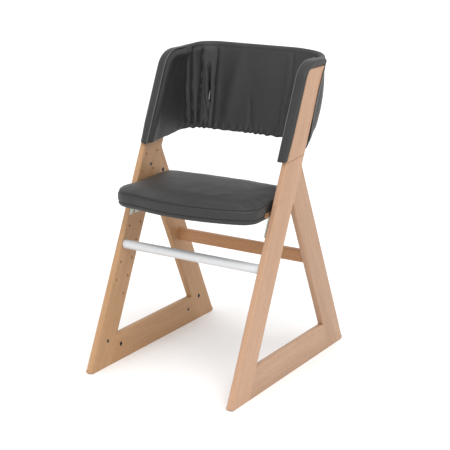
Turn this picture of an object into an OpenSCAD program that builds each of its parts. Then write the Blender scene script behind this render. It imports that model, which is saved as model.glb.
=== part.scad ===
// Baby high chair: two beech A-frames, a bent plywood backrest, a seat and a footrest
// that hang on studs in the hole rows of the legs. Millimetres, +Z up, front faces -Y.

/* [Side frames] */
// Clear width between the two side frames
gap_width = 420; // [410:2:430]
// Thickness of the frame boards
board_t = 18; // [17:0.5:20]
// Width of the leg boards
board_w = 78; // [74:1:82]
// Depth on the floor, toe to heel
frame_depth = 602; // [596:2:610]
// Height of the front leg tops
leg_top = 800; // [796:1:804]
// Height of the floor runners
runner_h = 78; // [74:1:82]
// Lean of the legs from the vertical, degrees
leg_lean = 24.86; // [24.6:0.02:25.1]
// Radius of the rounded long edges
edge_r = 4.5; // [3:0.5:5]

/* [Hole rows] */
// Height of the lowest hole row
row_first = 185; // [180:1:190]
// Distance between rows along the leg
row_pitch = 50; // [49:0.5:51]
// Front hole column, level distance from the front edge
column_in = 17.3; // [16:0.1:19]
// Level distance between the two columns
column_gap = 49; // [48:0.5:50]
// Diameter of the blind holes
hole_d = 6.5; // [6.4:0.1:6.6]
// Depth of the blind holes
hole_depth = 12; // [11:0.5:13]

/* [Seat] */
// Thickness of the plywood seat board
seat_board_t = 12; // [10:1:13]
// Height of the seat board's underside
seat_under = 445; // [443:1:447]
// Height of the cushion's crown
seat_crown = 496; // [491:1:498]
// Front edge of the cushion, from the toe
seat_front = 86; // [82:1:92]
// Rear edge of the cushion, from the toe
seat_rear = 370; // [364:1:373]

/* [Backrest] */
// Lean of the shell from the vertical, degrees
back_lean = 17.2; // [16.5:0.1:18]
// Thickness of the bent plywood
shell_t = 8; // [7:0.5:8.5]
// Outer bend radius of the shell
shell_r = 72; // [66:1:74]
// Thickness of the padded cover over the shell
cover_t = 3.7; // [3:0.1:4.2]
// Crown of the cover
cover_top = 824; // [820:1:826]

/* [Footrest] */
// Diameter of the tube
tube_d = 25; // [24:0.5:26]
// Wall of the tube
tube_wall = 1.8; // [1.5:0.1:2.2]

/* [Hidden] */
$fn = 64;
gap_half = gap_width / 2;
lean_k = tan(leg_lean);
leg_c = cos(leg_lean);
leg_s = sin(leg_lean);
level_w = board_w / leg_c;
join_low = (frame_depth - 2 * level_w) / (2 * lean_k);
join_high = (frame_depth - level_w) / (2 * lean_k);
row_rise = row_pitch * leg_c;
mid_t = board_t / 2;
// direction across a front leg's joints, and along the leg
across = [leg_c, -leg_s];
along = [leg_s, leg_c];
across_rear = [leg_c, leg_s];
along_rear = [-leg_s, leg_c];
front_rows = 8;
seat_row = 5;
foot_row = 3;
play = 0.05;
stud_d = hole_d - 2 * play;
slot_d = stud_d + 0.2;
// connector fittings: [barrel centre, cam centre] beside each joint line
front_join = fore_back(56);
rear_join = hind_front(54.8);
top_join = fore_back(502.6);
fit_front = [front_join - 36.2 * across, front_join + 26.5 * across];
fit_rear = [rear_join - 28.2 * across_rear, rear_join + 33.8 * across_rear];
fit_top = [top_join - 32 * across, top_join + 30.4 * across];
fittings = [fit_front, fit_rear, fit_top];
fit_stud_d = 6;
barrel_d = 10;
barrel_h = 13;
cam_d = 12;
cam_h = 12.7;
flush = 0.2;
// how far an edge cutter runs past its ends
lap = 0.6;
dowel_d = 8;
dowel_l = 32;
dowel_joins = [
  [front_join - 20 * along, across],
  [front_join - 42 * along, across],
  [rear_join - 20 * along_rear, across_rear],
  [rear_join - 42 * along_rear, across_rear],
  [top_join - 25 * along, across],
  [top_join + 22 * along, across]
];
// cross rail
rail_h = 34;
rail_t = 18;
rail_z = 268;
rail_mid_z = rail_z + rail_h / 2;
rail_mid_y = frame_depth - lean_k * rail_mid_z - level_w / 2;
rail_stud_z = rail_z + 24;
rail_dowel_z = rail_z + 10;
rail_cam_in = 24;
// seat
seat_half = 203.5;
seat_bow = 488;
seat_bow_rear = 900;
seat_corner = 46;
seat_corner_rear = 26;
skirt = 4;
seat_bottom = seat_under - 2;
board_half = 204.9;
bare_y0 = 192;
bare_y1 = 300;
dome_r = 1400;
// how much wider the seat is ahead of the legs, each side
seat_flare = 7;
flare_end = 190;
flange_t = 3;
plate_w0 = -3.7;
plate_w1 = -0.7;
plate_low = 398;
plate_len = 76;
flange_in = 178;
screw_x = 190;
screw_ys = [220, 243, 266];
// backrest
back_ref_y = 478;
back_ref_z = 600;
shell_low = 585;
shell_low_rear = 636;
shell_top = cover_top - 12;
shell_fore = 8;
roll_fore = 14;
roll_ext = 17;
roll_out = gap_half + roll_ext;
leg_air = 1.5;
cover_low = 577;
cover_low_rear = 592;
arch_y0 = 372;
arch_y1 = 455;
slit_x = 154;
slit_z0 = 664;
slit_z1 = 758;
shell_slot_w = 14;
cover_slit_w = 7;
bar_d = 5;
bar_in = 6;
shell_rows = [10, 12];
insert_d = 9;
insert_h = 12;
screw_d = 6;
// footrest
plug_head = 8;
plug_stub = 16;
foot_stud_in = 7.5;
beech = [0.86, 0.68, 0.5];
ply = [0.75, 0.57, 0.4];
steel = [0.75, 0.76, 0.78];
dark = [0.24, 0.24, 0.25];
pale = [0.83, 0.85, 0.87];

function unit(v) = v / norm(v);
function fore_front(z) = [lean_k * z, z];
function fore_back(z) = [lean_k * z + level_w, z];
function hind_front(z) = [frame_depth - level_w - lean_k * z, z];
function hind_back(z) = [frame_depth - lean_k * z, z];
function row_z(i) = row_first + i * row_rise;
function hole_at(i, c) = [lean_k * row_z(i) + column_in + c * column_gap, row_z(i)];

// origin at the middle of the floor box
module placed() translate([0, -frame_depth / 2, 0]) children();
// side plane: x runs back, y runs up, z runs outward from the right frame's inner face
module on_right() placed() translate([gap_half, 0, 0]) rotate([90, 0, 90]) children();
module on_left() mirror([1, 0, 0]) on_right() children();
module both_sides() {
  on_right() children();
  on_left() children();
}

// cuts one outline corner p, between neighbours a and b, to radius r
module corner_cut(p, a, b, r) {
  u = unit(a - p);
  v = unit(b - p);
  half = acos(u * v) / 2;
  c = p + unit(u + v) * r / sin(half);
  t1 = p + u * r / tan(half);
  t2 = p + v * r / tan(half);
  difference() {
    polygon([p - unit(u + v) * 3, t1 + (t1 - c) / r, c, t2 + (t2 - c) / r]);
    translate(c) circle(r);
  }
}

// points round the outline corner p, from neighbour a's side to neighbour b's
function arc_pts(p, a, b, r, n) = let (
  u = unit(a - p),
  v = unit(b - p),
  half = acos(u * v) / 2,
  c = p + unit(u + v) * r / sin(half),
  q = u * r / tan(half) + p - c,
  a0 = atan2(q[1], q[0])
) [for (i = [0:n]) c + r * [cos(a0 + i * (180 - 2 * half) / n),
  sin(a0 + i * (180 - 2 * half) / n)]];

// profile taken off a long edge: x runs into the board, y through its thickness
function edge_profile() = concat([[-1, -1], [edge_r, -1]],
  [for (i = [0:5]) edge_r * [1 - sin(i * 18), 1 - cos(i * 18)]], [[-1, edge_r]]);

// rounds both faces along the way through pts; the board is on the left of the way
module edge_cut(pts) {
  for (i = [0:len(pts) - 2]) {
    way = pts[i + 1] - pts[i];
    translate([pts[i][0], pts[i][1], 0]) rotate([0, 0, atan2(way[1], way[0])])
      translate([-lap, 0, 0]) rotate([90, 0, 90]) linear_extrude(norm(way) + 2 * lap) {
        polygon(edge_profile());
        translate([0, board_t]) mirror([0, 1]) polygon(edge_profile());
      }
  }
}

// rod in the side plane, along d, from p, at mid thickness
module rod(p, d, diam, len) {
  translate([p[0], p[1], mid_t]) rotate([0, 0, atan2(d[1], d[0])]) rotate([0, 90, 0])
    cylinder(d = diam, h = len);
}

module fitting_rooms() {
  for (f = fittings) {
    translate([f[0][0], f[0][1], -1]) cylinder(d = barrel_d + 0.1, h = barrel_h + 1.3);
    translate([f[1][0], f[1][1], -1]) cylinder(d = cam_d + 0.1, h = cam_h + 1.3);
    rod(f[0], f[1] - f[0], fit_stud_d + 0.4, norm(f[1] - f[0]));
  }
  for (j = dowel_joins) rod(j[0] - 16.3 * j[1], j[1], dowel_d + 0.1, dowel_l + 0.6);
}

module fore_leg() {
  top_f = fore_front(leg_top);
  top_b = fore_back(leg_top);
  toe = [0, 0];
  toe_b = [level_w, 0];
  toe_arc = arc_pts(toe, top_f, toe_b, 7, 3);
  over = concat(arc_pts(top_b, toe_b, top_f, 5, 2), arc_pts(top_f, top_b, toe, 22, 5));
  difference() {
    linear_extrude(board_t) polygon(concat(toe_arc, [toe_b], over));
    edge_cut([fore_back(join_high), over[0]]);
    edge_cut([over[2], over[3]]);
    edge_cut([over[len(over) - 1], toe_arc[0]]);
    edge_cut([fore_back(runner_h), fore_back(join_low)]);
    for (i = [0:front_rows]) translate([hole_at(i, 1)[0], hole_at(i, 1)[1], -1])
      cylinder(d = hole_d, h = hole_depth + 1);
    for (i = [1:front_rows]) translate([hole_at(i, 0)[0], hole_at(i, 0)[1], -1])
      cylinder(d = hole_d, h = hole_depth + 1);
    for (i = shell_rows) translate([lean_k * row_z(i) + level_w / 2, row_z(i), -1])
      cylinder(d = insert_d + 0.1, h = insert_h + 1.3);
    fitting_rooms();
  }
}

module hind_leg() {
  heel = [frame_depth, 0];
  kink = hind_back(join_high);
  crook = hind_front(join_low);
  heel_arc = arc_pts(heel, hind_front(0), kink, 7, 3);
  difference() {
    linear_extrude(board_t) polygon(concat([hind_front(0)], heel_arc, [kink, crook]));
    edge_cut([heel_arc[len(heel_arc) - 1], kink]);
    edge_cut([crook, hind_front(runner_h)]);
    translate([rail_mid_y, rail_stud_z, -1]) cylinder(d = fit_stud_d + play, h = 12.5);
    translate([rail_mid_y, rail_dowel_z, -1]) cylinder(d = dowel_d + 0.1, h = 13.2);
    fitting_rooms();
  }
}

module runner() {
  difference() {
    linear_extrude(board_t)
      polygon([fore_back(0), hind_front(0), hind_front(runner_h), fore_back(runner_h)]);
    edge_cut([hind_front(runner_h), fore_back(runner_h)]);
    fitting_rooms();
  }
}

module front_leg_right() color(beech) on_right() fore_leg();
module front_leg_left() color(beech) on_left() fore_leg();
module rear_leg_right() color(beech) on_right() hind_leg();
module rear_leg_left() color(beech) on_left() hind_leg();
module runner_right() color(beech) on_right() runner();
module runner_left() color(beech) on_left() runner();

module rail_profile() {
  r = 3;
  union() {
    translate([0, r]) square([rail_t, rail_h - 2 * r]);
    translate([r, 0]) square([rail_t - 2 * r, rail_h]);
    for (x = [r, rail_t - r]) for (y = [r, rail_h - r]) translate([x, y]) circle(r);
  }
}

module cross_rail() color(beech) placed() difference() {
  translate([-gap_half, rail_mid_y - rail_t / 2, rail_z]) rotate([90, 0, 90])
    linear_extrude(gap_width) rail_profile();
  for (s = [-1, 1]) {
    translate([s * (gap_half - rail_cam_in), rail_mid_y + rail_t / 2 + 1, rail_stud_z])
      rotate([90, 0, 0]) cylinder(d = cam_d + 0.1, h = cam_h + 1.3);
    translate([s * (gap_half - rail_cam_in), rail_mid_y, rail_stud_z]) rotate([0, s * 90, 0])
      cylinder(d = fit_stud_d + 0.4, h = rail_cam_in + 1);
    translate([s * (gap_half - 20.3), rail_mid_y, rail_dowel_z]) rotate([0, s * 90, 0])
      cylinder(d = dowel_d + 0.1, h = 22);
  }
}

module joint_studs() color(steel) both_sides()
  for (f = fittings) rod(f[0] - 2 * unit(f[1] - f[0]), f[1] - f[0], fit_stud_d,
    norm(f[1] - f[0]) + 2);

module joint_barrels() color(steel) both_sides() for (f = fittings) difference() {
  translate([f[0][0], f[0][1], flush]) cylinder(d = barrel_d, h = barrel_h);
  rod(f[0] - 3 * unit(f[1] - f[0]), f[1] - f[0], fit_stud_d + 0.1, 20);
  translate([f[0][0] - 3.5, f[0][1] - 0.6, flush - 1]) cube([7, 1.2, 2]);
}

// cam nut with a cross recess and a side mouth for the stud
module cam_body() difference() {
  cylinder(d = cam_d, h = cam_h);
  translate([0, 0, -1]) cylinder(d = 6.4, h = 4);
  translate([-4.4, -0.9, -1]) cube([8.8, 1.8, 3.2]);
  translate([-0.9, -4.4, -1]) cube([1.8, 8.8, 3.2]);
}

module joint_cams() color(dark) both_sides() for (f = fittings) difference() {
  translate([f[1][0], f[1][1], flush]) cam_body();
  rod(f[1] - 20 * unit(f[1] - f[0]), f[1] - f[0], fit_stud_d + 0.1, 21);
}

module joint_dowels() color(beech) both_sides()
  for (j = dowel_joins) rod(j[0] - 16 * j[1], j[1], dowel_d, dowel_l);

module rail_studs() color(steel) placed() for (s = [-1, 1])
  translate([s * (gap_half - rail_cam_in), rail_mid_y, rail_stud_z]) rotate([0, s * 90, 0])
    cylinder(d = fit_stud_d, h = rail_cam_in + 11);

module rail_cams() color(dark) placed() for (s = [-1, 1]) difference() {
  translate([s * (gap_half - rail_cam_in), rail_mid_y + rail_t / 2 - flush, rail_stud_z])
    rotate([90, 0, 0]) cam_body();
  translate([s * (gap_half - rail_cam_in - 1), rail_mid_y, rail_stud_z]) rotate([0, s * 90, 0])
    cylinder(d = fit_stud_d + 0.1, h = 20);
}

module rail_dowels() color(beech) placed() for (s = [-1, 1])
  translate([s * (gap_half - 20), rail_mid_y, rail_dowel_z]) rotate([0, s * 90, 0])
    cylinder(d = dowel_d, h = 32);

// right half of the seat outline, drawn in from the cushion's edge, front to rear
function seat_half_pts(inset) = let (
  hw = seat_half - inset,
  yf = seat_front + inset,
  yr = seat_rear - inset,
  rf = seat_bow - inset,
  rr = seat_bow_rear - inset,
  cf = seat_corner - inset,
  cr = seat_corner_rear - inset,
  of = [0, yf + rf],
  or = [0, yr - rr],
  fx = hw + seat_flare - cf,
  fc = [fx, of[1] - sqrt(pow(rf - cf, 2) - pow(fx, 2))],
  rc = [hw - cr, or[1] + sqrt(pow(rr - cr, 2) - pow(hw - cr, 2))],
  af = atan2(fc[1] - of[1], fc[0] - of[0]),
  ar = atan2(rc[1] - or[1], rc[0] - or[0])
) concat(
  [for (i = [1:10]) of + rf * [cos(-90 + i * (af + 90) / 10), sin(-90 + i * (af + 90) / 10)]],
  [for (i = [1:10]) fc + cf * [cos(af * (1 - i / 10)), sin(af * (1 - i / 10))]],
  [[hw, flare_end]],
  [for (i = [0:8]) rc + cr * [cos(ar * i / 8), sin(ar * i / 8)]],
  [for (i = [1:7]) or + rr * [cos(ar + i * (90 - ar) / 8), sin(ar + i * (90 - ar) / 8)]]
);

module seat_plan(inset) {
  pts = seat_half_pts(inset);
  n = len(pts);
  polygon(concat(pts, [for (i = [n - 1:-1:0]) [-pts[i][0], pts[i][1]]]));
}

module board_plan(grow) {
  seat_plan(skirt - grow);
  translate([-board_half - grow, bare_y0 - grow])
    square([2 * (board_half + grow), bare_y1 - bare_y0 + 2 * grow]);
}

module seat_board() color(ply) placed() difference() {
  translate([0, 0, seat_under]) linear_extrude(seat_board_t) board_plan(0);
  for (s = [-1, 1]) for (y = screw_ys) translate([s * screw_x, y, seat_under - 1])
    cylinder(d = 3.9, h = 11);
}

module seat_cushion() color(dark) placed() difference() {
  intersection() {
    translate([0, 0, seat_bottom]) linear_extrude(seat_crown - seat_bottom) seat_plan(0);
    translate([0, 0, seat_crown - dome_r]) rotate([-90, 0, 0])
      cylinder(r = dome_r, h = 400, $fn = 360);
  }
  translate([0, 0, seat_bottom - 1]) linear_extrude(seat_board_t + 3.3) board_plan(0.3);
}

module seat_bracket() {
  low = fore_front(plate_low);
  high = fore_front(seat_under);
  difference() {
    union() {
      translate([0, 0, plate_w0]) linear_extrude(plate_w1 - plate_w0)
        polygon([low + [1, 0], low + [1 + plate_len, 0], high + [1 + plate_len, 0],
          high + [1, 0]]);
      translate([high[0] + 1, seat_under - flange_t, flange_in - gap_half])
        cube([plate_len, flange_t, gap_half - flange_in + plate_w0 + 1]);
    }
    for (c = [0, 1]) translate([hole_at(seat_row, c)[0], hole_at(seat_row, c)[1],
        plate_w0 - 1]) {
      cylinder(d = slot_d, h = 6);
      rotate([0, 0, -leg_lean]) translate([-slot_d / 2, -30, 0]) cube([slot_d, 30, 6]);
    }
    for (y = screw_ys) translate([y, seat_under - flange_t - 1, screw_x - gap_half])
      rotate([-90, 0, 0]) cylinder(d = 4.2, h = 6);
  }
}

module seat_bracket_right() color(pale) on_right() seat_bracket();
module seat_bracket_left() color(pale) on_left() seat_bracket();

module bracket_screws() color(steel) placed() for (s = [-1, 1]) for (y = screw_ys)
  translate([s * screw_x, y, seat_under - flange_t]) difference() {
    union() {
      translate([0, 0, -2.2]) cylinder(d = 8, h = 2.2);
      cylinder(d = 3.8, h = 12);
    }
    translate([-2.6, -0.5, -3]) cube([5.2, 1, 2]);
    translate([-0.5, -2.6, -3]) cube([1, 5.2, 2]);
  }

module seat_studs() color(steel) both_sides() for (c = [0, 1])
  translate([hole_at(seat_row, c)[0], hole_at(seat_row, c)[1], 0]) {
    translate([0, 0, -6]) cylinder(d = stud_d, h = hole_depth + 5.5);
    translate([0, 0, -7]) cylinder(d = 11, h = 2.8);
  }

// U-shaped plan of the backrest, grown by e, open to the front
module u_solid(e) {
  mid = gap_half - shell_r;
  r = shell_r + e;
  translate([-mid - r, -340]) square([2 * (mid + r), 340 - shell_r]);
  translate([-mid, -340]) square([2 * mid, 340 + e]);
  for (s = [-1, 1]) translate([s * mid, -shell_r]) circle(r, $fn = 96);
}

module u_wall(e_out, e_in) placed() translate([0, back_ref_y, back_ref_z])
  rotate([-back_lean, 0, 0]) translate([0, 0, -130]) linear_extrude(420) difference() {
    u_solid(e_out);
    u_solid(e_in);
  }

// side outline of the backrest: fore = how far it stands before the leg's front edge
module back_side(fore, low, low_rear, top, r) {
  corner = fore_front(top) - [fore, 0];
  difference() {
    polygon([fore_front(low) - [fore, 0], [arch_y0, low], [arch_y1, low_rear],
      [700, low_rear], [700, top], corner]);
    corner_cut(corner, [700, top], fore_front(low) - [fore, 0], r);
  }
}

module across_chair(half) placed() translate([-half, 0, 0]) rotate([90, 0, 90])
  linear_extrude(2 * half) children();

module back_slots(w) {
  placed() for (s = [-1, 1]) translate([s * slit_x, 0, 0]) {
    translate([-w / 2, 400, slit_z0 + w / 2]) cube([w, 200, slit_z1 - slit_z0 - w]);
    for (z = [slit_z0 + w / 2, slit_z1 - w / 2]) translate([0, 400, z])
      rotate([-90, 0, 0]) cylinder(d = w, h = 200);
  }
}

// upright bar in a belt slit, parallel to the shell
module bar_at(s, d, len) placed() translate([s * slit_x, back_ref_y, back_ref_z])
  rotate([-back_lean, 0, 0]) translate([0, -bar_in, (slit_z0 + slit_z1) / 2 - back_ref_z
    + 6 - len / 2]) cylinder(d = d, h = len);

module backrest_shell() color(ply) difference() {
  intersection() {
    u_wall(0, -shell_t);
    across_chair(gap_half + 1) back_side(shell_fore, shell_low, shell_low_rear, shell_top, 60);
  }
  back_slots(shell_slot_w);
  for (s = [-1, 1]) bar_at(s, bar_d + 0.1, 110.6);
  both_sides() for (i = shell_rows)
    translate([lean_k * row_z(i) + level_w / 2, row_z(i), 0]) {
      translate([0, 0, -10]) cylinder(d = screw_d + 0.4, h = 11);
      translate([0, 0, -shell_t - 0.6]) cylinder(d1 = 13.7, d2 = 6.1, h = 3.8);
    }
}

module backrest_cover() color(dark) difference() {
  intersection() {
    union() {
      u_wall(cover_t, -shell_t - cover_t);
      placed() for (s = [0, 1]) mirror([s, 0, 0])
        translate([gap_half - shell_t - cover_t, 0, 0]) rotate([90, 0, 90])
          linear_extrude(shell_t + cover_t + roll_ext) polygon([
            fore_front(cover_low) - [roll_fore, 0], fore_front(cover_low) - [leg_air, 0],
            fore_front(leg_top + 2) - [leg_air, 0], fore_back(leg_top + 2) + [10, 0],
            fore_back(cover_top) + [10, 0], fore_front(cover_top) - [roll_fore, 0]]);
    }
    across_chair(roll_out) back_side(roll_fore, cover_low, cover_low_rear, cover_top, 70);
  }
  intersection() {
    u_wall(0.3, -shell_t - 0.3);
    across_chair(gap_half + 3)
      back_side(shell_fore + 0.3, cover_low - 20, cover_low_rear - 20, shell_top + 0.3, 60);
  }
  placed() for (s = [0, 1]) mirror([s, 0, 0]) translate([gap_half - 0.3, 0, 0])
    rotate([90, 0, 90]) linear_extrude(40) polygon([
      fore_front(cover_low - 9) - [leg_air, 0], fore_back(cover_low - 9) + [leg_air, 0],
      fore_back(leg_top + 2) + [leg_air, 0], fore_front(leg_top + 2) - [leg_air, 0]]);
  back_slots(cover_slit_w);
}

module backrest_screws() color(steel) both_sides() for (i = shell_rows)
  translate([lean_k * row_z(i) + level_w / 2, row_z(i), -shell_t]) difference() {
    union() {
      cylinder(d1 = 12, d2 = screw_d, h = 3);
      cylinder(d = screw_d, h = shell_t + 9);
    }
    translate([0, 0, -1]) cylinder(d = 3.4, h = 3);
  }

module backrest_inserts() color(steel) both_sides() for (i = shell_rows)
  translate([lean_k * row_z(i) + level_w / 2, row_z(i), 0]) difference() {
    translate([0, 0, 0.1]) cylinder(d = insert_d, h = insert_h);
    translate([0, 0, -1]) cylinder(d = screw_d + 0.1, h = 11);
  }

module harness_bars() color(steel) for (s = [-1, 1]) bar_at(s, bar_d, 110);

module footrest_tube() color(pale) placed()
  translate([-gap_half + 0.5 + plug_head, hole_at(foot_row, 0)[0], hole_at(foot_row, 0)[1]])
    rotate([0, 90, 0]) difference() {
      cylinder(d = tube_d, h = gap_width - 1 - 2 * plug_head);
      translate([0, 0, -1]) cylinder(d = tube_d - 2 * tube_wall, h = gap_width);
    }

module footrest_plugs() color(pale) both_sides()
  translate([hole_at(foot_row, 0)[0], hole_at(foot_row, 0)[1], 0]) difference() {
    union() {
      translate([0, 0, -0.5 - plug_head]) cylinder(d = tube_d, h = plug_head);
      translate([0, 0, -0.5 - plug_head - plug_stub])
        cylinder(d = tube_d - 2 * tube_wall - 0.1, h = plug_stub + 1);
    }
    translate([0, 0, -foot_stud_in - 0.3]) cylinder(d = slot_d, h = 10);
    translate([0, 0, -foot_stud_in - 0.3]) rotate([0, 0, -leg_lean])
      translate([-slot_d / 2, -20, 0]) cube([slot_d, 20, 10]);
    translate([0, 0, -30]) cylinder(d = 14, h = 20);
  }

module footrest_studs() color(steel) both_sides()
  translate([hole_at(foot_row, 0)[0], hole_at(foot_row, 0)[1], -foot_stud_in])
    cylinder(d = stud_d, h = foot_stud_in + hole_depth - 0.5);

front_leg_left();
front_leg_right();
rear_leg_left();
rear_leg_right();
runner_left();
runner_right();
cross_rail();
joint_studs();
joint_barrels();
joint_cams();
joint_dowels();
rail_studs();
rail_cams();
rail_dowels();
backrest_shell();
backrest_cover();
backrest_screws();
backrest_inserts();
harness_bars();
seat_board();
seat_cushion();
seat_bracket_left();
seat_bracket_right();
bracket_screws();
seat_studs();
footrest_tube();
footrest_plugs();
footrest_studs();
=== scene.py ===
"""Studio scene for the baby high chair: materials, backrest cover, seat cushion, floor, light, camera."""
import math
import bpy
import bmesh
import numpy as np
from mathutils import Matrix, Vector
from mathutils.bvhtree import BVHTree


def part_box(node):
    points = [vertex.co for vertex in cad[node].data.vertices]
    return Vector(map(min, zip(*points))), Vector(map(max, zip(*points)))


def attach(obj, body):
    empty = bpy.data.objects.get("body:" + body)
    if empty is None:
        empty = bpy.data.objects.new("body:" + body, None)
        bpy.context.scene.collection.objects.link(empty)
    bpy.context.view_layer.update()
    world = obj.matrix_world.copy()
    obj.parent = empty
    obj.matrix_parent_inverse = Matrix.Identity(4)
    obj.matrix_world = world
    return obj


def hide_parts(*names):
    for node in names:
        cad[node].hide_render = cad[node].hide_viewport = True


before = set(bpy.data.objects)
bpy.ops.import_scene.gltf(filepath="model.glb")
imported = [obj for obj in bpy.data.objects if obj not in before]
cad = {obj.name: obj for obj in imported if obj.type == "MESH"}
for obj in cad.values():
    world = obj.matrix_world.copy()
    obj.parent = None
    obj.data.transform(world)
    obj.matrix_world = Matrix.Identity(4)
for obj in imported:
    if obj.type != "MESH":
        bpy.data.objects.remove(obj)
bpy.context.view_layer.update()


# ---------------------------------------------------------------- node helpers
class Mat:
    """A Principled material and short calls for its nodes."""

    def __init__(self, name, **sockets):
        self.m = bpy.data.materials.new(name)
        self.m.use_nodes = True
        self.t = self.m.node_tree
        self.t.nodes.clear()
        out = self.t.nodes.new("ShaderNodeOutputMaterial")
        self.bsdf = self.t.nodes.new("ShaderNodeBsdfPrincipled")
        self.t.links.new(self.bsdf.outputs[0], out.inputs[0])
        for k, v in sockets.items():
            self.bsdf.inputs[k.replace("_", " ")].default_value = v

    def put(self, value, socket):
        if isinstance(value, bpy.types.NodeSocket):
            self.t.links.new(value, socket)
        else:
            socket.default_value = value

    def node(self, kind, ins=None, **props):
        n = self.t.nodes.new("ShaderNode" + kind)
        for k, v in props.items():
            setattr(n, k, v)
        for k, v in (ins or {}).items():
            self.put(v, n.inputs[k])
        return n

    def set(self, socket, value):
        self.put(value, self.bsdf.inputs[socket])

    def coords(self, scale=(1, 1, 1), turn=0.0, axis="X_AXIS", shift=(0, 0, 0)):
        v = self.node("TexCoord").outputs["Object"]
        if turn:
            v = self.node("VectorRotate", {"Vector": v, "Angle": turn}, rotation_type=axis).outputs[0]
        return self.node("Mapping", {"Vector": v, "Scale": scale, "Location": shift}).outputs[0]

    def noise(self, v, scale, detail=3.0, rough=0.55, distort=0.0):
        return self.node("TexNoise", {"Vector": v, "Scale": scale, "Detail": detail, "Roughness": rough,
                                      "Distortion": distort}).outputs[0]

    def ramp(self, fac, stops):
        n = self.node("ValToRGB", {"Fac": fac})
        e = n.color_ramp.elements
        while len(e) < len(stops):
            e.new(0.5)
        for s, (p, c) in zip(e, stops):
            s.position = p
            s.color = (c, c, c, 1) if isinstance(c, (int, float)) else (*c, 1)
        return n.outputs[0]

    def mix(self, fac, a, b, mode="MIX"):
        n = self.node("Mix", {}, data_type="RGBA", blend_type=mode)
        self.put(fac, n.inputs[0])
        for value, i in ((a, 6), (b, 7)):
            self.put(value if isinstance(value, bpy.types.NodeSocket) else (*value, 1), n.inputs[i])
        return n.outputs[2]

    def math(self, op, a, b=0.0):
        n = self.node("Math", {}, operation=op)
        self.put(a, n.inputs[0])
        self.put(b, n.inputs[1])
        return n.outputs[0]

    def times(self, a, b):
        return self.math("MULTIPLY", a, b)

    def span(self, value, lo, hi):
        return self.node("MapRange", {"Value": value, "To Min": lo, "To Max": hi}).outputs[0]

    def bump(self, height, strength, distance, normal=None):
        ins = {"Height": height, "Strength": strength, "Distance": distance}
        if normal is not None:
            ins["Normal"] = normal
        return self.node("Bump", ins).outputs[0]


def shade(colour, by):
    return tuple(c * by for c in colour)


def edge_band(m, radius):
    """1 along the outer edges, 0 on the faces."""
    soft = m.node("Bevel", {"Radius": radius}, samples=6).outputs[0]
    flat = m.node("NewGeometry").outputs["Normal"]
    d = m.node("VectorMath", {0: soft, 1: flat}, operation="DOT_PRODUCT").outputs["Value"]
    return m.ramp(d, [(0.86, 1.0), (0.995, 0.0)])


# ---------------------------------------------------------------- materials
def beech(name, turn, shift, light, dark, axis="X_AXIS"):
    """Lacquered beech, grain along local Z after the turn: rings, streaks, short dark flecks, lighter colour
    along the edges.
    """
    m = Mat(name, Specular_IOR_Level=0.42, Coat_Weight=0.10, Coat_Roughness=0.32)
    slow = m.coords((9, 9, 0.9), turn, axis, shift)
    fine = m.coords((240, 240, 9), turn, axis, shift)
    fleck = m.coords((620, 620, 95), turn, axis, shift)
    waves = m.coords((26, 17, 0.8), turn, axis, shift)
    rings = m.node("TexWave", {"Vector": waves, "Scale": 1.4, "Distortion": 5.5, "Detail": 3.0,
                               "Detail Scale": 1.2, "Detail Roughness": 0.6},
                   wave_type="BANDS", bands_direction="DIAGONAL", wave_profile="SAW").outputs[1]
    broad = m.noise(slow, 1.0, 3.0)
    streak = m.noise(fine, 1.0, 4.0, 0.6)
    spots = m.ramp(m.noise(fleck, 1.0, 1.5, 0.4), [(0.60, 0.0), (0.70, 1.0)])
    colour = m.mix(m.ramp(broad, [(0.32, 0.0), (0.68, 1.0)]), light, dark)
    colour = m.mix(m.times(m.ramp(rings, [(0.45, 0.0), (1.0, 1.0)]), 0.22), colour, dark)
    colour = m.mix(m.times(m.ramp(streak, [(0.42, 0.0), (0.72, 1.0)]), 0.26), colour, shade(dark, 0.66))
    colour = m.mix(m.times(spots, 0.32), colour, shade(dark, 0.42))
    # lighter colour along the outer edges
    colour = m.mix(m.times(edge_band(m, 0.0022), 0.28), colour, shade(light, 1.18))
    m.set("Base Color", colour)
    m.set("Roughness", m.span(m.math("ADD", streak, m.times(broad, 0.4)), 0.36, 0.56))
    height = m.math("SUBTRACT", m.times(streak, 0.5), m.times(spots, 0.6))
    m.set("Normal", m.bump(height, 0.35, 0.00025))
    return m.m


SLIT_X, SLIT_Z = 0.154, 0.711  # middle of the shell's belt slots


def plywood():
    """Bent plywood: beech face veneer, thin plies on the cut edges, and painted shade round the belt slots.
    """
    m = Mat("plywood", Specular_IOR_Level=0.4)
    v = m.coords((150, 150, 9))
    streak = m.noise(v, 1.0, 4.0, 0.6)
    colour = m.mix(streak, (0.46, 0.25, 0.125), (0.33, 0.165, 0.075))
    ply = m.node("TexWave", {"Vector": m.coords((1, 1, 1)), "Scale": 210.0, "Distortion": 0.4},
                 wave_type="BANDS", bands_direction="Z").outputs[1]
    colour = m.mix(m.times(ply, 0.25), colour, (0.2, 0.09, 0.04))
    at = m.node("SeparateXYZ", {"Vector": m.node("TexCoord").outputs["Object"]})
    # painted shade: the wood round each belt slot is made near black, as the slit lies in shade
    off_x = m.math("ABSOLUTE", m.math("SUBTRACT", m.math("ABSOLUTE", at.outputs[0]), SLIT_X))
    off_z = m.math("ABSOLUTE", m.math("SUBTRACT", at.outputs[2], SLIT_Z))
    slot_shade = m.times(m.math("LESS_THAN", off_x, 0.010), m.math("LESS_THAN", off_z, 0.055))
    colour = m.mix(slot_shade, colour, (0.012, 0.011, 0.010))
    m.set("Base Color", colour)
    m.set("Roughness", m.span(streak, 0.42, 0.6))
    m.set("Normal", m.bump(streak, 0.3, 0.0002))
    return m.m


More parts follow.
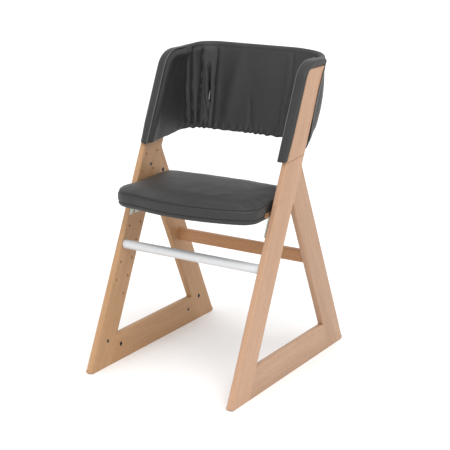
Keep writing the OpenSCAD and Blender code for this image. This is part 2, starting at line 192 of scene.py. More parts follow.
def leatherette(name, base=(0.0225, 0.0225, 0.0222), seed=0.0):
    """Matt anthracite leatherette: pebbled grain in two sizes with painted shade in its hollows, rubbed high
    spots, slow tonal drift.
    """
    m = Mat(name, Specular_IOR_Level=0.44, Sheen_Weight=0.03, Sheen_Roughness=0.42)
    m.set("Sheen Tint", (0.85, 0.87, 0.9, 1))
    v = m.coords(shift=(seed, seed * 0.7, seed * 1.3))
    warp = m.node("TexNoise", {"Vector": v, "Scale": 420.0, "Detail": 2.0}).outputs[1]
    warped = m.node("Mix", {"Factor": 0.004, 4: v, 5: warp}, data_type="VECTOR").outputs[1]
    cells = m.node("TexVoronoi", {"Vector": warped, "Scale": 950.0}, feature="DISTANCE_TO_EDGE").outputs[0]
    grain = m.ramp(cells, [(0.0, 0.0), (0.16, 1.0)])
    pores = m.noise(v, 1900.0, 2.0, 0.5)
    drift = m.noise(v, 6.0, 3.0, 0.6)
    rub = m.noise(v, 46.0, 4.0, 0.62)
    colour = m.mix(m.ramp(drift, [(0.3, 0.0), (0.7, 1.0)]), shade(base, 0.86), shade(base, 1.14))
    # painted shade: the hollows between the pebbles are darkened
    colour = m.mix(m.times(m.math("SUBTRACT", 1.0, grain), 0.45), colour, shade(base, 0.5))
    colour = m.mix(m.times(m.ramp(rub, [(0.55, 0.0), (0.75, 1.0)]), 0.22), colour, shade(base, 1.45))
    m.set("Base Color", colour)
    m.set("Roughness", m.span(m.math("ADD", m.times(rub, 0.6), m.times(drift, 0.4)), 0.38, 0.56))
    height = m.math("ADD", m.times(grain, 0.7), m.times(pores, 0.3))
    soft = m.bump(m.noise(v, 34.0, 3.0), 0.22, 0.0016)
    m.set("Normal", m.bump(height, 0.42, 0.00022, soft))
    return m.m


def metal(name, colour, rough, along=(1, 1, 1), strength=0.15, metallic=1.0):
    """Brushed or plated metal: fine lines along one axis, cloudy roughness."""
    m = Mat(name, Metallic=metallic)
    lines = m.noise(m.coords(along), 1.0, 4.0, 0.6)
    cloud = m.noise(m.coords(), 60.0, 3.0)
    m.set("Base Color", m.mix(cloud, shade(colour, 0.9), colour))
    mixed = m.math("ADD", m.times(lines, 0.7), m.times(cloud, 0.3))
    m.set("Roughness", m.span(mixed, rough - 0.09, rough + 0.12))
    m.set("Normal", m.bump(lines, strength, 0.00008))
    return m.m


def plastic(name, colour, rough):
    """Moulded plastic, thread or paint: fine speckle over a slow cloud."""
    m = Mat(name, Specular_IOR_Level=0.45)
    v = m.coords()
    speck = m.noise(v, 1400.0, 2.0)
    cloud = m.noise(v, 40.0, 3.0)
    m.set("Base Color", m.mix(cloud, shade(colour, 0.92), colour))
    m.set("Roughness", m.span(speck, rough - 0.06, rough + 0.1))
    m.set("Normal", m.bump(speck, 0.16, 0.0001))
    return m.m


LEG = math.radians(24.86)  # lean of the front and rear legs
IN_SHADE = {"light": (0.48, 0.280, 0.142), "dark": (0.365, 0.195, 0.088)}  # painted shade: darker, redder copies of the beech for the left pieces, whose faces turn from the light
wood = {
    "fore": beech("beech_fore", LEG, (0.31, 0.2, 0.0), (0.56, 0.347, 0.226), (0.43, 0.25, 0.15)),
    "fore_shaded": beech("beech_fore_shaded", LEG, (1.7, 0.9, 0.4), **IN_SHADE),
    "hind": beech("beech_hind", -LEG, (2.3, 0.5, 1.1), (0.47, 0.292, 0.188), (0.36, 0.208, 0.124)),
    "hind_shaded": beech("beech_hind_shaded", -LEG, (3.9, 1.5, 0.2), **IN_SHADE),
    "low": beech("beech_low", math.pi / 2, (0.9, 3.1, 0.6), (0.46, 0.286, 0.184), (0.355, 0.205, 0.122)),
    "low_shaded": beech("beech_low_shaded", math.pi / 2, (2.9, 1.1, 1.6), **IN_SHADE),
    # painted shade: the rail's beech is darker and more orange, as it sits in the seat's shadow; the dowels
    # share it
    "rail": beech("beech_rail_shaded", math.pi / 2, (4.4, 0.2, 0.9), (0.52, 0.272, 0.125), (0.40, 0.19, 0.078),
                  axis="Y_AXIS"),
}
steel = metal("steel", (0.63, 0.63, 0.65), 0.32, (900, 900, 900))
zinc = metal("dark_zinc", (0.075, 0.07, 0.068), 0.42, (700, 700, 700))
tube = metal("tube_aluminium", (0.69, 0.70, 0.71), 0.50, (18, 1500, 1500), 0.22, 0.35)
leather = leatherette("leatherette")
leather_seat = leatherette("leatherette_seat", seed=1.37)
thread = plastic("thread", (0.03, 0.03, 0.032), 0.6)
# painted highlight: the piping is real, its lighter leatherette stands for the pale line of light along the
# wings' inner edge
piping_highlight = leatherette("piping_highlight", base=(0.105, 0.105, 0.107), seed=2.9)
seam_shadow_paint = plastic("seam_shadow", (0.009, 0.009, 0.009), 0.75)
ply = plywood()
paint = plastic("bracket_paint", (0.56, 0.58, 0.54), 0.45)
cap = plastic("plug_plastic", (0.60, 0.62, 0.63), 0.48)

USES = {
    "front_leg_right": wood["fore"], "front_leg_left": wood["fore_shaded"],
    "rear_leg_right": wood["hind"], "rear_leg_left": wood["hind_shaded"],
    "runner_right": wood["low"], "runner_left": wood["low_shaded"], "cross_rail": wood["rail"],
    "joint_studs": zinc, "joint_barrels": zinc, "joint_cams": zinc, "joint_dowels": wood["rail"],
    "rail_studs": steel, "rail_cams": zinc, "rail_dowels": wood["rail"],
    "backrest_shell": ply, "backrest_screws": steel, "backrest_inserts": steel, "harness_bars": steel,
    "seat_board": ply, "seat_bracket_left": paint, "seat_bracket_right": paint, "bracket_screws": steel,
    "seat_studs": steel, "footrest_tube": tube, "footrest_plugs": cap, "footrest_studs": steel,
    "seat_cushion": leather_seat, "backrest_cover": leather,
}
for name, material in USES.items():
    slots = cad[name].data.materials
    slots.clear()
    slots.append(material)


# ---------------------------------------------------------------- mesh helpers
def link(name, mesh):
    o = bpy.data.objects.new(name, mesh)
    bpy.context.scene.collection.objects.link(o)
    return o


def new_piece(name, verts, faces, material, body):
    """A soft piece from its vertices and faces, smooth shaded, on its body."""
    mesh = bpy.data.meshes.new(name)
    mesh.from_pydata([tuple(v) for v in verts], [], [tuple(f) for f in faces])
    mesh.materials.append(material)
    bm = bmesh.new()
    bm.from_mesh(mesh)
    bmesh.ops.remove_doubles(bm, verts=bm.verts, dist=1e-6)
    bmesh.ops.dissolve_degenerate(bm, edges=bm.edges, dist=1e-7)
    bmesh.ops.recalc_face_normals(bm, faces=bm.faces)
    bm.to_mesh(mesh)
    bm.free()
    mesh.polygons.foreach_set("use_smooth", [True] * len(mesh.polygons))
    o = link(name, mesh)
    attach(o, body)
    return o


def tube_along(points, radius, sides=8, closed=False):
    """Vertices and faces of a round cord through the points, with rounded ends."""
    p = np.asarray(points, float)
    n = len(p)
    if closed:
        t = np.roll(p, -1, 0) - np.roll(p, 1, 0)
    else:
        t = np.gradient(p, axis=0)
    t /= np.linalg.norm(t, axis=1)[:, None]
    up = np.array([0.31, 0.2, 0.93])
    u = np.cross(t, up)
    u /= np.linalg.norm(u, axis=1)[:, None]
    w = np.cross(t, u)
    ang = np.arange(sides) * 2 * math.pi / sides
    r = np.full(n, radius)
    if not closed:
        r[0] = r[-1] = radius * 0.45
    around = np.cos(ang)[None, :, None] * u[:, None] + np.sin(ang)[None, :, None] * w[:, None]
    rings = p[:, None] + r[:, None, None] * around
    verts = rings.reshape(-1, 3).tolist()
    faces = []
    for i in range(n if closed else n - 1):
        j = (i + 1) % n
        for k in range(sides):
            after = (k + 1) % sides
            faces.append((i * sides + k, i * sides + after, j * sides + after, j * sides + k))
    if not closed:
        faces.append(tuple(range(sides)))
        faces.append(tuple((n - 1) * sides + k for k in reversed(range(sides))))
    return verts, faces


def joined(parts):
    """Several (vertices, faces) as one."""
    verts, faces = [], []
    for v, f in parts:
        o = len(verts)
        verts.extend(v)
        faces.extend(tuple(i + o for i in q) for q in f)
    return verts, faces


def path_length(line):
    """Distance of each point from the first, along the line."""
    return np.concatenate([[0], np.cumsum(np.linalg.norm(np.diff(line, axis=0), axis=1))])


STITCH_PITCH, STITCH_LENGTH, THREAD_RADIUS = 0.0062, 0.0038, 0.00042


def stitches(line):
    """Short thread dashes along a line of points."""
    p = np.asarray(line, float)
    along = path_length(p)
    parts = []
    for a in np.arange(0.003, along[-1] - STITCH_LENGTH, STITCH_PITCH):
        at = a + np.array([0, 0.33, 0.67, 1.0]) * STITCH_LENGTH
        q = np.stack([np.interp(at, along, p[:, k]) for k in range(3)], 1)
        parts.append(tube_along(q, THREAD_RADIUS, 5))
    return joined(parts)


def bell(x, width):
    """1 at x = 0, falling to nothing over a few widths."""
    return np.exp(-(x / width) ** 2)


def step(x, a, b):
    """0 below a, 1 above b, with a smooth rise between."""
    t = np.clip((x - a) / (b - a), 0, 1)
    return t * t * (3 - 2 * t)


def ripple(s, z, seed):
    """Slow smooth noise for many points, from a few sines."""
    r = np.random.default_rng(seed)
    out = np.zeros_like(s)
    for _ in range(9):
        a, b, c = r.uniform(-1, 1), r.uniform(-1, 1), r.uniform(0, 6.28)
        out += np.sin(a * s * 95 + b * z * 60 + c)
    return out / 9


# ---------------------------------------------------------------- the backrest cover
# Laid out in (s, z): s runs along the U from the middle of the back, z is the height. The offset e
# is measured outward from the shell's outer face, and the shell fills -8 to 0 mm.
BACK = math.radians(17.2)  # lean of the back panel
TAN, COS = math.tan(BACK), math.cos(BACK)
K = math.tan(LEG)
TOE = -0.301  # y of the legs' front faces, carried down to the floor
LEG_WIDE = 0.085966  # depth of a front leg, measured level
LEG_TOP = 0.802
X0, R, RM = 0.138, 0.072, 0.068  # half of the flat back, the shell's turn, the turn along which s is measured
ARC = RM * math.pi / 2
Z_LOW, Z_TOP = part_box("backrest_cover")[0][2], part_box("backrest_cover")[1][2]
E_IN, E_OUT, E_MID = -0.0117, 0.0037, -0.004  # offset of the inner layer, the outer layer and the middle
HALF = 0.0077  # half of the padded thickness
FORE = {1: 0.0135, -1: 0.0115}  # how far the front edge stands before the leg, right and left
LAP_Y = TOE - 0.0040  # front edge of the window that shows a leg's outer face
GAP = 0.0020  # from the leg's rear face to the window's rear edge
WINDOW_CORNER = ((1.0, 0.0140), (0.45, 0.0085), (2.3, 0.0210))  # slope and size of the cuts that round it
FLAP_E = 0.0207  # offset of the strip where it laps over the leg's rear edge


def y_back(z):
    """The shell's rear face at a height."""
    return 0.177 + (z - 0.6) * TAN


def y_turn(z):
    """Where the shell's turn ends and its straight wing begins."""
    return y_back(z) - R / COS


def on_cover(s, z, e):
    """Points in space from the cover's own coordinates."""
    a, sign = np.abs(s), np.sign(s)
    th = np.clip((a - X0) / RM, 0, math.pi / 2)
    x = np.where(a <= X0, a, X0 + (R + e) * np.sin(th))
    turned = y_turn(z) + (R + e) * np.cos(th) / COS - np.maximum(a - X0 - ARC, 0)
    y = np.where(a <= X0, y_back(z) + e / COS, turned)
    return np.stack([sign * x, y, z + 0 * s], -1)


def front_y(z):
    """The legs' front faces at a height."""
    return K * z + TOE


def s_of(y, z):
    """Path position of a point of the straight wing."""
    return X0 + ARC + y_turn(z) - y


def cover_outline(side):
    """Half of the outline in (s, z): up the front edge, round the corner, along the top to the middle."""
    top, fore = Z_TOP - 0.0056, FORE[side]
    corner = np.array([front_y(top) - fore, top])
    down = np.array([-math.sin(LEG), -math.cos(LEG)])
    rad = 0.070
    reach = rad / math.tan((math.pi / 2 + LEG) / 2)
    a, b = corner + down * reach, corner + np.array([reach, 0])
    centre = np.array([b[0], top - rad])
    t0 = math.atan2(*(a - centre)[::-1])
    low = Z_LOW + 0.001
    foot = np.array([front_y(low) - fore + 0.003, low])
    front = foot + (a - foot) * np.linspace(0, 1, 70)[:, None]
    turn = np.linspace(t0, math.pi / 2, 40)
    arc = centre + rad * np.stack([np.cos(turn), np.sin(turn)], 1)
    line = np.concatenate([front, arc[1:]])
    s, z = s_of(line[:, 0], line[:, 1]), line[:, 1]
    along = np.linspace(s[-1], 0, 120)[1:]
    s = np.concatenate([s, along])
    z = np.concatenate([z, top + 0 * along])
    # the top edge is higher over the back than over the wings
    drop = (-0.215, -0.085) if side > 0 else (-0.270, -0.190)
    sag = 0.0022 * bell(s - 0.225, 0.03) if side > 0 else 0
    z = z + 0.0072 * step(-s, *drop) * step(z, 0.75, 0.81) - sag
    return np.stack([s * side, z], 1)


def gathers(s):
    return np.sin(s * 300 + 2.6 * np.sin(s * 41))


def hem_z(s):
    """Height of the hem: low at the legs, raised and waved over the back."""
    a = np.abs(s)
    base = Z_LOW + 0.001 + 0.0045 * step(-a, -0.36, -0.30) + 0.0095 * step(-a, -0.30, -0.20)
    wave = (0.0008 + 0.0005 * np.sin(s * 33 + 1)) * gathers(s) + 0.0007 * np.sin(s * 187 + 2)
    return base + wave * step(-a, -0.30, -0.20) - 0.0080 * bell(s - 0.240, 0.028)


def even(line, step_len):
    """The same line with points at even distances."""
    along = path_length(line)
    at = np.linspace(0, along[-1], int(along[-1] / step_len) + 1)
    return np.stack([np.interp(at, along, line[:, k]) for k in range(2)], 1)


def from_segments(p, line):
    """Distance of each point from a polyline, brute force in blocks."""
    a, b = line[:-1], line[1:]
    d = b - a
    dd = np.maximum((d * d).sum(1), 1e-12)
    out = np.empty(len(p))
    for i in range(0, len(p), 4000):
        q = p[i:i + 4000, None] - a[None]
        t = np.clip((q * d).sum(2) / dd, 0, 1)
        out[i:i + 4000] = np.sqrt(((q - t[..., None] * d) ** 2).sum(2).min(1))
    return out


def square_to(tang):
    """Unit vectors across the line, from its tangents."""
    tang = tang / np.linalg.norm(tang, axis=1)[:, None]
    return np.stack([-tang[:, 1], tang[:, 0]], 1)


def cover_grid():
    """Columns from the upper outline down to the hem, dense at both ends."""
    whole = np.concatenate([cover_outline(1), cover_outline(-1)[::-1][1:]])
    top = even(whole, 0.0028)
    n = len(top)
    # share of the hem that belongs to each column: little beside the front edges, even along the top
    tang = np.gradient(top, axis=0)
    share = 0.32 * np.abs(tang[:, 1]) + np.abs(tang[:, 0])
    cum = np.concatenate([[0], np.cumsum((share[1:] + share[:-1]) / 2)])
    hem_s = top[0, 0] + (top[-1, 0] - top[0, 0]) * cum / cum[-1]
    hem = np.stack([hem_s, hem_z(hem_s)], 1)
    inward = square_to(tang)
    if inward[n // 2, 1] > 0:
        inward = -inward
    span = np.linalg.norm(hem - top, axis=1)
    pull = np.minimum(0.42 * span, 0.055)[:, None]
    c1, c2 = top + inward * pull, hem + np.array([0, 1.0]) * pull
    dense = HALF * (1 - np.cos(np.linspace(0, math.pi / 2, 8)))
    dense = np.concatenate([dense, [0.0092, 0.0105, 0.0113, 0.0119, 0.0135]])
    rows = 86
    w = np.empty((n, rows))
    for i in range(n):
        k = min(1.0, span[i] / 0.06)
        ends = dense * k / max(span[i], 1e-6)
        low = HALF * (1 - np.cos(np.linspace(0, math.pi / 2, 7))) * k / max(span[i], 1e-6)
        mid = np.linspace(ends[-1], 1 - low[-1], rows - len(ends) - len(low) + 2)
        w[i] = np.concatenate([ends, mid[1:-1], 1 - low[::-1]])
    w = np.clip(w, 0, 1)[..., None]
    v = 1 - w
    g = v ** 3 * top[:, None] + 3 * v ** 2 * w * c1[:, None]
    g = g + 3 * v * w ** 2 * c2[:, None] + w ** 3 * hem[:, None]
    return g, top, hem


# creases between the pleats on the left: place and slope; the ridge and crease depths of each pleat;
# softer creases on the right: place, slope, depth, width
PLEATS = ((-0.2307, -0.223), (-0.2095, -0.189), (-0.1830, -0.103), (-0.1390, -0.096))
RIDGES = ((0.0044, 0.0028), (0.0044, 0.0028), (0.0030, 0.0028))
CREASES = ((0.100, 0.06, 0.0028, 0.0032), (0.190, 0.17, 0.0022, 0.0046), (0.226, 0.22, 0.0024, 0.0044))


def slit_s(z):
    """Path position of the belt slit, which leans with the turn."""
    return 0.1575 + 0.19 * (z - SLIT_Z)


def inner_e(s, z, d, d_hem, side):
    """Offset of the layer that faces the child: padding, pleats, drag lines at the slits, gathered hem."""
    wing = step(np.abs(s), X0 + ARC * 0.9, X0 + ARC + 0.02)
    e = E_IN + 0 * s
    # each wing's front edge is a thick roll that turns softly towards its seam
    e += wing * (0.0056 * step(-side, -0.020, 0.0) ** 1.5 - 0.0034 * bell(side - 0.021, 0.013))
    # pleats where the shell turns on the left: round ridges between sharp creases
    fade = step(z, 0.590, 0.612) * step(-z, -0.816, -0.800)
    line = [a + k * (z - 0.70) + 0.0006 * np.sin(z * 44 + a * 60) for a, k in PLEATS]
    for i, (amp, sink) in enumerate(RIDGES):
        u = np.clip((s - line[i]) / (line[i + 1] - line[i]), 0, 1)
        e -= amp * fade * np.sin(math.pi * u) ** 0.75
        e += sink * fade * bell(s - line[i], 0.0030)
    e += 0.0026 * fade * bell(s - line[3], 0.0034)
    e -= 0.0018 * fade * (bell(s - line[0] + 0.013, 0.011) + bell(s - line[3] - 0.012, 0.009))
    # softer creases on the right
    wave = 0.003 * np.sin(z * 26 + 1.0)
    for at, k, depth, width in CREASES:
        at = at - k * (z - 0.70) + wave
        beside = bell(s - at + 0.012, 0.008) + 0.5 * bell(s - at - 0.012, 0.009)
        e += depth * fade * bell(s - at, width) - 0.85 * depth * fade * beside
    # lips of each slit, and two drag lines that meet under it
    for sgn in (-1, 1):
        c = sgn * slit_s(z)
        lip = step(z, 0.652, 0.668) * step(-z, -0.774, -0.758)
        e += 0.0030 * lip * bell(s - c, 0.0040)
        e -= 0.0016 * lip * (bell(s - c - 0.009, 0.0050) + bell(s - c + 0.009, 0.0050))
        c = sgn * 0.150
        for k, amp in ((0.36, 0.0026), (-0.20, 0.0020)):
            low = step(z, 0.610, 0.632) * step(-z, -0.676, -0.660)
            e += amp * low * bell(s - c - sgn * k * (z - 0.636), 0.0030)
        e -= 0.0026 * bell(s - c - sgn * 0.005, 0.0075) * bell(z - 0.652, 0.011)
    # slow swells over the back panel, and one drag line
    panel = step(-np.abs(s), -0.15, -0.11)
    e -= 0.0036 * panel * bell(s + 0.080 - 0.10 * (z - 0.70), 0.020) * step(z, 0.60, 0.66)
    drag = bell(s + 0.012 + 0.19 * (z - 0.65), 0.0065) * step(-z, -0.71, -0.66) * step(z, 0.60, 0.62)
    e += 0.0018 * panel * drag
    e -= 0.0012 * panel * bell(s - 0.030, 0.03)
    e += 0.0007 * ripple(s, z, 3) + 0.0003 * ripple(s * 2.2, z * 1.6, 8)
    # gathers above the hem
    back = step(-np.abs(s), -0.30, -0.20)
    gather = gathers(s) + 0.45 * np.sin(s * 517 + 2)
    e += 0.0013 * back * gather * step(-d_hem, -0.028, -0.004) * step(d_hem, 0.0, 0.004)
    # stitched-down line under the top edge
    e += 0.0009 * bell(d - 0.0125, 0.0016) * step(z, 0.78, 0.80)
    return np.minimum(e, -0.0088)  # clear of the shell's inner face


def outer_e(s, z, d_hem, y):
    """Offset of the layer that faces out: roll before the leg, cap over the leg's top, strip behind it."""
    wing = step(np.abs(s), X0 + ARC * 0.55, X0 + ARC)
    leg = y - front_y(z)
    over = step(z, LEG_TOP - 0.016, LEG_TOP - 0.002)
    lap = y - (LAP_Y + K * z)
    reach = np.maximum(step(-lap, -0.012, -0.004), over * step(-leg, -(LEG_WIDE + 0.008), -LEG_WIDE))
    roll = 0.0172 + 0.0022 * step(z, 0.585, 0.635)
    e = E_OUT + (roll - E_OUT) * wing * reach
    turn = step(np.abs(s), X0 * 0.80, X0 + ARC)
    flap = step(-leg, -(LEG_WIDE + 0.022), -(LEG_WIDE + 0.001)) * (leg > 0.5 * LEG_WIDE)
    lift = (FLAP_E - E_OUT) * (flap * step(z, 0.590, 0.622) * wing) * (1 - reach)
    # the strip behind the leg swells at mid height and draws in at both ends
    strip = turn * (1 - wing * reach)
    e += strip * 0.0095 * np.sin(math.pi * np.clip((z - 0.615) / 0.175, 0, 1)) ** 0.95
    e -= strip * 0.0031 * step(z, 0.775, 0.802)
    e = np.where(lift > 0.0003, np.maximum(e, E_OUT + lift), e)
    panel = 1 - turn
    e += 0.0009 * ripple(s * 0.8, z * 0.8, 11) * panel + 0.0012 * panel * bell(z - 0.70, 0.07)
    lip = step(z, 0.655, 0.668) * step(-z, -0.768, -0.755) * (1 - wing)
    e += 0.0012 * lip * bell(np.abs(np.abs(s) - slit_s(z)) - 0.0075, 0.004)
    gather = np.sin(s * 290 + 1.4 * np.sin(s * 37) + 1)
    e += 0.0013 * gather * step(-np.abs(s), -0.27, -0.18) * step(-d_hem, -0.030, -0.002)
    return e


def rounded(d, reach, power):
    """Profile of a layer near its edge: 0 at the edge, 1 from the reach inward."""
    return (1 - (1 - np.clip(d / reach, 0, 1)) ** power) ** (1 / power)


def cover_layers():
    """Vertices of the inner and the outer layer, and the quads of one layer."""
    g, top, hem = cover_grid()
    n, rows = g.shape[:2]
    flat = g.reshape(-1, 2)
    d = from_segments(flat, np.concatenate([top, hem[::-1], top[:1]]))
    side = from_segments(flat, top)
    d_hem = from_segments(flat, hem)
    s, z = flat[:, 0], flat[:, 1]
    y = on_cover(s, z, 0 * s)[:, 1]
    front = step(np.abs(s), X0 + ARC, X0 + ARC + 0.03)
    t = np.clip(d / HALF, 0, 1)
    soft = np.sqrt(1 - (1 - t) ** 2)
    edge = np.where(s > 0, rounded(d, 0.0062, 3.4), rounded(d, 0.0095, 2.3))
    f_out = soft * (1 - front) + edge * front
    f_in = soft * (1 - front) + np.clip(d / 0.0016, 0, 1) ** 0.5 * front
    # below the shell's raised rear edge the outer layer is drawn in to the hem
    drawn = step(-z, -0.640, -0.600) * step(np.abs(s), 0.0, 0.10)
    behind = step(y - front_y(z), LEG_WIDE + 0.004, LEG_WIDE + 0.030)
    mid = E_MID + 0.0025 * front - 0.0052 * drawn * behind
    e_out = outer_e(s, z, d_hem, y)
    e_out = e_out + (-0.0062 - e_out) * step(-z, -0.640, -0.596) * behind
    # it stays clear of the shell wherever the shell reaches down to it
    bare = step(y, 0.066, 0.158) * 0.048 + 0.588
    e_out = np.where(z > bare - 0.007, np.maximum(e_out, 0.0022), e_out)
    inner = on_cover(s, z, mid + (inner_e(s, z, d, d_hem, side) - mid) * f_in)
    outer = on_cover(s, z, mid + (e_out - mid) * f_out)
    idx = np.arange(n * rows).reshape(n, rows)
    quads = np.stack([idx[:-1, :-1], idx[1:, :-1], idx[1:, 1:], idx[:-1, 1:]], -1).reshape(-1, 4)
    return inner, outer, quads


ON_CUT = 1e-5  # how near to a cut a vertex counts as on it


def cut(bm, test, co, no):
    """Cut the faces that pass the test along a plane."""
    found = [f for f in bm.faces if test(f)]
    geom = list({e for f in found for e in f.edges} | {v for f in found for v in f.verts}) + found
    bmesh.ops.bisect_plane(bm, geom=geom, plane_co=co, plane_no=no, dist=ON_CUT)


def turned_in(bm, rim):
    """Extrude the open edges in place, and return the new vertices."""
    ext = bmesh.ops.extrude_edge_only(bm, edges=rim)
    return [v for v in ext["geom"] if isinstance(v, bmesh.types.BMVert)]


def cut_leg_windows(bm, layer):
    """The window in the outer layer that shows each leg's outer face."""
    def outside(f):
        return f[layer] == 1 and abs(f.calc_center_median().x) > 0.195

    cut(bm, outside, (0, LAP_Y, 0), (0, 1, -K))
    for slope, size in WINDOW_CORNER:
        cut(bm, outside, (0, LAP_Y + K * LEG_TOP + size, LEG_TOP), (0, 1, -K - slope))
    cut(bm, outside, (0, TOE + LEG_WIDE + GAP, 0), (0, math.cos(LEG), -math.sin(LEG)))
    cut(bm, outside, (0, 0, LEG_TOP), (0, 0, 1))

    def in_window(f):
        c = f.calc_center_median()
        u, w = c.y - LAP_Y - K * c.z, LEG_TOP - c.z
        inside = outside(f) and u > 0 and w > 0 and c.y - front_y(c.z) < LEG_WIDE + GAP
        return inside and all(u + slope * w > size for slope, size in WINDOW_CORNER)

    bmesh.ops.delete(bm, geom=[f for f in bm.faces if in_window(f)], context="FACES")
    # the window's rear edge bows forward over the leg
    for v in bm.verts:
        off = v.co.y - front_y(v.co.z) - LEG_WIDE - GAP
        if -ON_CUT <= off < 0.030 and abs(v.co.x) > 0.2290 and v.co.z < LEG_TOP + 0.002:
            bow = math.sin(math.pi * min(max((v.co.z - 0.635) / 0.200, 0), 1))
            v.co.y -= 0.0090 * bow * (1 - off / 0.030)
    for v in turned_in(bm, [e for e in bm.edges if e.is_boundary]):
        over = 0.0002 < v.co.y - front_y(v.co.z) < LEG_WIDE + 0.0008 and v.co.z < LEG_TOP - 0.001
        v.co.x = math.copysign(0.2287 if over else 0.2094, v.co.x)


def cut_belt_slits(bm):
    """The belt slits, through both layers, with turned-in lips."""
    lo, hi, half = 0.664, 0.758, 0.0021
    x, slope = 0.1545, 0.155
    for sgn in (-1, 1):
        def across(c):
            return c.x * sgn - (x + slope * (c.z - SLIT_Z))

        def near(f):
            c = f.calc_center_median()
            return abs(across(c)) < 0.016 and 0.64 < c.z < 0.78 and c.y > 0.08

        for w in (-half, half):
            cut(bm, near, (sgn * (x + w), 0, SLIT_Z), (sgn, 0, -slope))
        for z in (lo, hi):
            cut(bm, near, (0, 0, z), (0, 0, 1))
        gone = [f for f in bm.faces if near(f) and abs(across(f.calc_center_median())) < half
                and lo < f.calc_center_median().z < hi]
        bmesh.ops.delete(bm, geom=gone, context="FACES")
        rim = [e for e in bm.edges if e.is_boundary
               and all(abs(across(v.co)) < 0.01 and v.co.y > 0.08 for v in e.verts)]
        for v in turned_in(bm, rim):
            in_front = v.co.y < y_back(v.co.z) - 0.0065 / COS
            v.co.y += 0.0026 if in_front else -0.0030


def build_cover():
    inner, outer, quads = cover_layers()
    faces = quads.tolist() + (quads[:, ::-1] + len(inner)).tolist()
    mesh = bpy.data.meshes.new("backrest_slipcover")
    mesh.from_pydata(np.concatenate([inner, outer]).tolist(), [], faces)
    mesh.materials.append(leather)
    bm = bmesh.new()
    bm.from_mesh(mesh)
    layer = bm.faces.layers.int.new("layer")
    bm.faces.ensure_lookup_table()
    for i in range(len(quads), len(faces)):
        bm.faces[i][layer] = 1
    bmesh.ops.remove_doubles(bm, verts=bm.verts, dist=2e-5)
    bmesh.ops.dissolve_degenerate(bm, edges=bm.edges, dist=1e-6)
    cut_leg_windows(bm, layer)
    cut_belt_slits(bm)
    bmesh.ops.recalc_face_normals(bm, faces=bm.faces)
    bm.to_mesh(mesh)
    bm.free()
    mesh.polygons.foreach_set("use_smooth", [True] * len(mesh.polygons))
    mesh.set_sharp_from_angle(angle=math.radians(62))
    o = link("backrest_slipcover", mesh)
    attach(o, "frame")
    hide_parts("backrest_cover")


def sew_cover():
    """Piping along the inner front edge of the wings and round the corners, with thread beside it; its
    lighter colour is a painted highlight.
    """
    welt, sewn = [], []
    for sgn in (1, -1):
        half = cover_outline(sgn)
        line = even(half[np.abs(half[:, 0]) > X0 + ARC + 0.015], 0.004)
        inward = square_to(np.gradient(line, axis=0))
        middle = len(inward) // 2
        if (inward[middle] @ (np.array([0, 0.69]) - line[middle])) < 0:
            inward = -inward
        p = line + inward * 0.0006
        welt.append(tube_along(on_cover(p[:, 0], p[:, 1], -0.0073 + 0 * p[:, 0]), 0.00125))
        p = line + inward * 0.0055
        e = np.full(len(p), E_IN + 0.0056 * step(-0.0055, -0.020, 0.0) ** 1.5)
        sewn.append(stitches(on_cover(p[:, 0], p[:, 1], e - 0.0002)))
    new_piece("cover_welts", *joined(welt), piping_highlight, "frame")
    # thread on the cover's back, above the hem
    up = 0.021
    s = np.linspace(-0.19, 0.19, 90)
    z = hem_z(s) + up
    sewn.append(stitches(on_cover(s, z, outer_e(s, z, 0 * s + up, y_back(z)) + 0.0002)))
    new_piece("cover_stitches", *joined(sewn), thread, "frame")


# ---------------------------------------------------------------- the seat cushion
def convex(line):
    """The line without the points that lie well inside it, between their neighbours."""
    for _ in range(6):
        keep = [0]
        for i in range(1, len(line) - 1):
            a, b, c = line[keep[-1]], line[i], line[i + 1]
            cross = (c[0] - a[0]) * (b[1] - a[1]) - (c[1] - a[1]) * (b[0] - a[0])
            if cross / max(np.linalg.norm(c - a), 1e-9) < 0.0012:
                keep.append(i)
        line = line[keep + [len(line) - 1]]
    return line


def plan_outline(node, count):
    """The node's plan outline as evenly spaced points, and its middle."""
    co = np.array([v.co for v in cad[node].data.vertices])
    mid = (co.min(0) + co.max(0))[:2] / 2
    p = co[:, :2] - mid
    p = np.unique(np.round(p[np.hypot(*p.T) > 0.09], 5), axis=0)
    ang = np.arctan2(p[:, 1], p[:, 0])
    order = np.argsort(ang)
    ang, p = ang[order], p[order]
    r = np.hypot(*p.T)
    # the farthest point in each degree
    far = []
    edges = np.linspace(-math.pi, math.pi, 361)
    for a, b in zip(edges[:-1], edges[1:]):
        m = (ang >= a) & (ang < b)
        if m.any():
            far.append(p[np.argmax(np.where(m, r, 0))])
    line = even(convex(np.array(far + far[:1])), 0.004)
    at = np.linspace(0, len(line) - 1, count + 1)[:-1]
    pts = np.stack([np.interp(at, np.arange(len(line)), line[:, k]) for k in range(2)], 1)
    return pts + mid, mid


class Cushion:
    """Measures of the seat cushion, from its CAD solid."""
    lo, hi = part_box("seat_cushion")
    lower, upper = lo.z + 0.0100, lo.z + 0.0350  # the two seams
    low = lo.z - 0.0025
    seam_rise = 0.0028  # of the upper seam, from front to rear
    outline, mid = plan_outline("seat_cushion", 300)
    # the front corners pull out tighter than the moulded radius, the left one more
    rel = outline - mid
    th = np.arctan2(rel[:, 1], rel[:, 0])
    rel *= (1 + (0.0130 * bell(th + 2.55, 0.15) + 0.0010 * bell(th + 0.59, 0.15)) / np.hypot(*rel.T))[:, None]
    outline = mid + rel
    length = np.hypot(*rel.T)[:, None]
    unit = rel / length

    @classmethod
    def from_edge(cls, co):
        return from_segments(co[:, :2], np.concatenate([cls.outline, cls.outline[:1]]))


